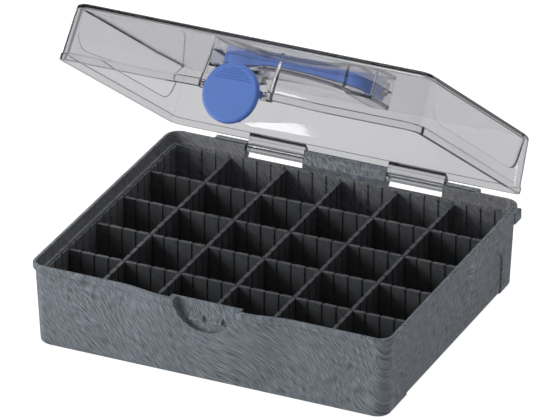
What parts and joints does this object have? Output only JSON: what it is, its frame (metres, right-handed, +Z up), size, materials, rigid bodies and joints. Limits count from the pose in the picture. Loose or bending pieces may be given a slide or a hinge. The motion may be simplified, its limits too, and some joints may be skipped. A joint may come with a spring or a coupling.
{
  "type": "parts organizer",
  "caption": "Rectangular divided tray with lift-out divider plates under a hinged smoke-clear lid with a front disc latch and a fold-down carrying handle.",
  "frame": {"origin": "middle of the tray's flat underside", "axes": "+Z up, the latch and the front face -Y, +X to the right seen from the front"},
  "size_m": [0.239, 0.2274, 0.2022],
  "materials": {
    "tray": "grey carbon-filled moulded plastic with a streaky, swirled flow texture and a soft sheen",
    "divider": "dark carbon-filled moulded plastic with a streaky flow texture",
    "lid": "clear smoke-tinted moulded plastic, polished",
    "blue": "opaque mid-blue moulded plastic, satin",
    "pin": "plain drawn wire"
  },
  "bodies": {
    "base": {"base_tray": "tray", "hinge_pin_right": "pin", "hinge_pin_left": "pin"},
    "lid": {"lid": "lid", "latch_pin": "pin", "handle_pin_right": "pin", "handle_pin_left": "pin"},
    "latch": {"latch": "blue"},
    "handle": {"handle": "blue"},
    "long_divider_1": {"long_divider_1": "divider"},
    "long_divider_2": {"long_divider_2": "divider"},
    "long_divider_3": {"long_divider_3": "divider"},
    "long_divider_4": {"long_divider_4": "divider"},
    "long_divider_5": {"long_divider_5": "divider"},
    "cross_divider_1_1": {"cross_divider_1_1": "divider"},
    "cross_divider_1_2": {"cross_divider_1_2": "divider"},
    "cross_divider_1_3": {"cross_divider_1_3": "divider"},
    "cross_divider_1_4": {"cross_divider_1_4": "divider"},
    "cross_divider_1_5": {"cross_divider_1_5": "divider"},
    "cross_divider_1_6": {"cross_divider_1_6": "divider"},
    "cross_divider_2_1": {"cross_divider_2_1": "divider"},
    "cross_divider_2_2": {"cross_divider_2_2": "divider"},
    "cross_divider_2_3": {"cross_divider_2_3": "divider"},
    "cross_divider_2_4": {"cross_divider_2_4": "divider"},
    "cross_divider_2_5": {"cross_divider_2_5": "divider"},
    "cross_divider_2_6": {"cross_divider_2_6": "divider"},
    "cross_divider_3_1": {"cross_divider_3_1": "divider"},
    "cross_divider_3_2": {"cross_divider_3_2": "divider"},
    "cross_divider_3_3": {"cross_divider_3_3": "divider"},
    "cross_divider_3_4": {"cross_divider_3_4": "divider"},
    "cross_divider_3_5": {"cross_divider_3_5": "divider"},
    "cross_divider_3_6": {"cross_divider_3_6": "divider"},
    "cross_divider_4_1": {"cross_divider_4_1": "divider"},
    "cross_divider_4_2": {"cross_divider_4_2": "divider"},
    "cross_divider_4_3": {"cross_divider_4_3": "divider"},
    "cross_divider_4_4": {"cross_divider_4_4": "divider"},
    "cross_divider_4_5": {"cross_divider_4_5": "divider"},
    "cross_divider_4_6": {"cross_divider_4_6": "divider"}
  },
  "joints": [
    {"name": "lid_hinge", "type": "hinge", "parent": "base", "child": "lid", "pos_m": [0, 0.1046, 0.052], "axis": [-1, 0, 0], "range_deg": [-36, 70]},
    {"name": "latch_pivot", "type": "hinge", "parent": "lid", "child": "latch", "pos_m": [0, -0.05962, 0.17848], "axis": [-1, 0, 0], "range_deg": [0, 12]},
    {"name": "handle_fold", "type": "hinge", "parent": "lid", "child": "handle", "pos_m": [0, 0.04153, 0.14145], "axis": [-1, 0, 0], "range_deg": [0, 95]},
    {"name": "long_divider_1_lift", "type": "slide", "parent": "base", "child": "long_divider_1", "axis": [0, 0, 1], "range_m": [0, 0.0475]},
    {"name": "long_divider_2_lift", "type": "slide", "parent": "base", "child": "long_divider_2", "axis": [0, 0, 1], "range_m": [0, 0.0475]},
    {"name": "long_divider_3_lift", "type": "slide", "parent": "base", "child": "long_divider_3", "axis": [0, 0, 1], "range_m": [0, 0.0475]},
    {"name": "long_divider_4_lift", "type": "slide", "parent": "base", "child": "long_divider_4", "axis": [0, 0, 1], "range_m": [0, 0.0475]},
    {"name": "long_divider_5_lift", "type": "slide", "parent": "base", "child": "long_divider_5", "axis": [0, 0, 1], "range_m": [0, 0.0475]},
    {"name": "cross_divider_1_1_lift", "type": "slide", "parent": "base", "child": "cross_divider_1_1", "axis": [0, 0, 1], "range_m": [0, 0.04]},
    {"name": "cross_divider_1_2_lift", "type": "slide", "parent": "base", "child": "cross_divider_1_2", "axis": [0, 0, 1], "range_m": [0, 0.04]},
    {"name": "cross_divider_1_3_lift", "type": "slide", "parent": "base", "child": "cross_divider_1_3", "axis": [0, 0, 1], "range_m": [0, 0.04]},
    {"name": "cross_divider_1_4_lift", "type": "slide", "parent": "base", "child": "cross_divider_1_4", "axis": [0, 0, 1], "range_m": [0, 0.04]},
    {"name": "cross_divider_1_5_lift", "type": "slide", "parent": "base", "child": "cross_divider_1_5", "axis": [0, 0, 1], "range_m": [0, 0.04]},
    {"name": "cross_divider_1_6_lift", "type": "slide", "parent": "base", "child": "cross_divider_1_6", "axis": [0, 0, 1], "range_m": [0, 0.04]},
    {"name": "cross_divider_2_1_lift", "type": "slide", "parent": "base", "child": "cross_divider_2_1", "axis": [0, 0, 1], "range_m": [0, 0.0475]},
    {"name": "cross_divider_2_2_lift", "type": "slide", "parent": "base", "child": "cross_divider_2_2", "axis": [0, 0, 1], "range_m": [0, 0.0475]},
    {"name": "cross_divider_2_3_lift", "type": "slide", "parent": "base", "child": "cross_divider_2_3", "axis": [0, 0, 1], "range_m": [0, 0.0475]},
    {"name": "cross_divider_2_4_lift", "type": "slide", "parent": "base", "child": "cross_divider_2_4", "axis": [0, 0, 1], "range_m": [0, 0.0475]},
    {"name": "cross_divider_2_5_lift", "type": "slide", "parent": "base", "child": "cross_divider_2_5", "axis": [0, 0, 1], "range_m": [0, 0.0475]},
    {"name": "cross_divider_2_6_lift", "type": "slide", "parent": "base", "child": "cross_divider_2_6", "axis": [0, 0, 1], "range_m": [0, 0.0475]},
    {"name": "cross_divider_3_1_lift", "type": "slide", "parent": "base", "child": "cross_divider_3_1", "axis": [0, 0, 1], "range_m": [0, 0.0475]},
    {"name": "cross_divider_3_2_lift", "type": "slide", "parent": "base", "child": "cross_divider_3_2", "axis": [0, 0, 1], "range_m": [0, 0.0475]},
    {"name": "cross_divider_3_3_lift", "type": "slide", "parent": "base", "child": "cross_divider_3_3", "axis": [0, 0, 1], "range_m": [0, 0.0475]},
    {"name": "cross_divider_3_4_lift", "type": "slide", "parent": "base", "child": "cross_divider_3_4", "axis": [0, 0, 1], "range_m": [0, 0.0475]},
    {"name": "cross_divider_3_5_lift", "type": "slide", "parent": "base", "child": "cross_divider_3_5", "axis": [0, 0, 1], "range_m": [0, 0.0475]},
    {"name": "cross_divider_3_6_lift", "type": "slide", "parent": "base", "child": "cross_divider_3_6", "axis": [0, 0, 1], "range_m": [0, 0.0475]},
    {"name": "cross_divider_4_1_lift", "type": "slide", "parent": "base", "child": "cross_divider_4_1", "axis": [0, 0, 1], "range_m": [0, 0.0475]},
    {"name": "cross_divider_4_2_lift", "type": "slide", "parent": "base", "child": "cross_divider_4_2", "axis": [0, 0, 1], "range_m": [0, 0.0475]},
    {"name": "cross_divider_4_3_lift", "type": "slide", "parent": "base", "child": "cross_divider_4_3", "axis": [0, 0, 1], "range_m": [0, 0.0475]},
    {"name": "cross_divider_4_4_lift", "type": "slide", "parent": "base", "child": "cross_divider_4_4", "axis": [0, 0, 1], "range_m": [0, 0.0475]},
    {"name": "cross_divider_4_5_lift", "type": "slide", "parent": "base", "child": "cross_divider_4_5", "axis": [0, 0, 1], "range_m": [0, 0.0475]},
    {"name": "cross_divider_4_6_lift", "type": "slide", "parent": "base", "child": "cross_divider_4_6", "axis": [0, 0, 1], "range_m": [0, 0.0475]}
  ]
}
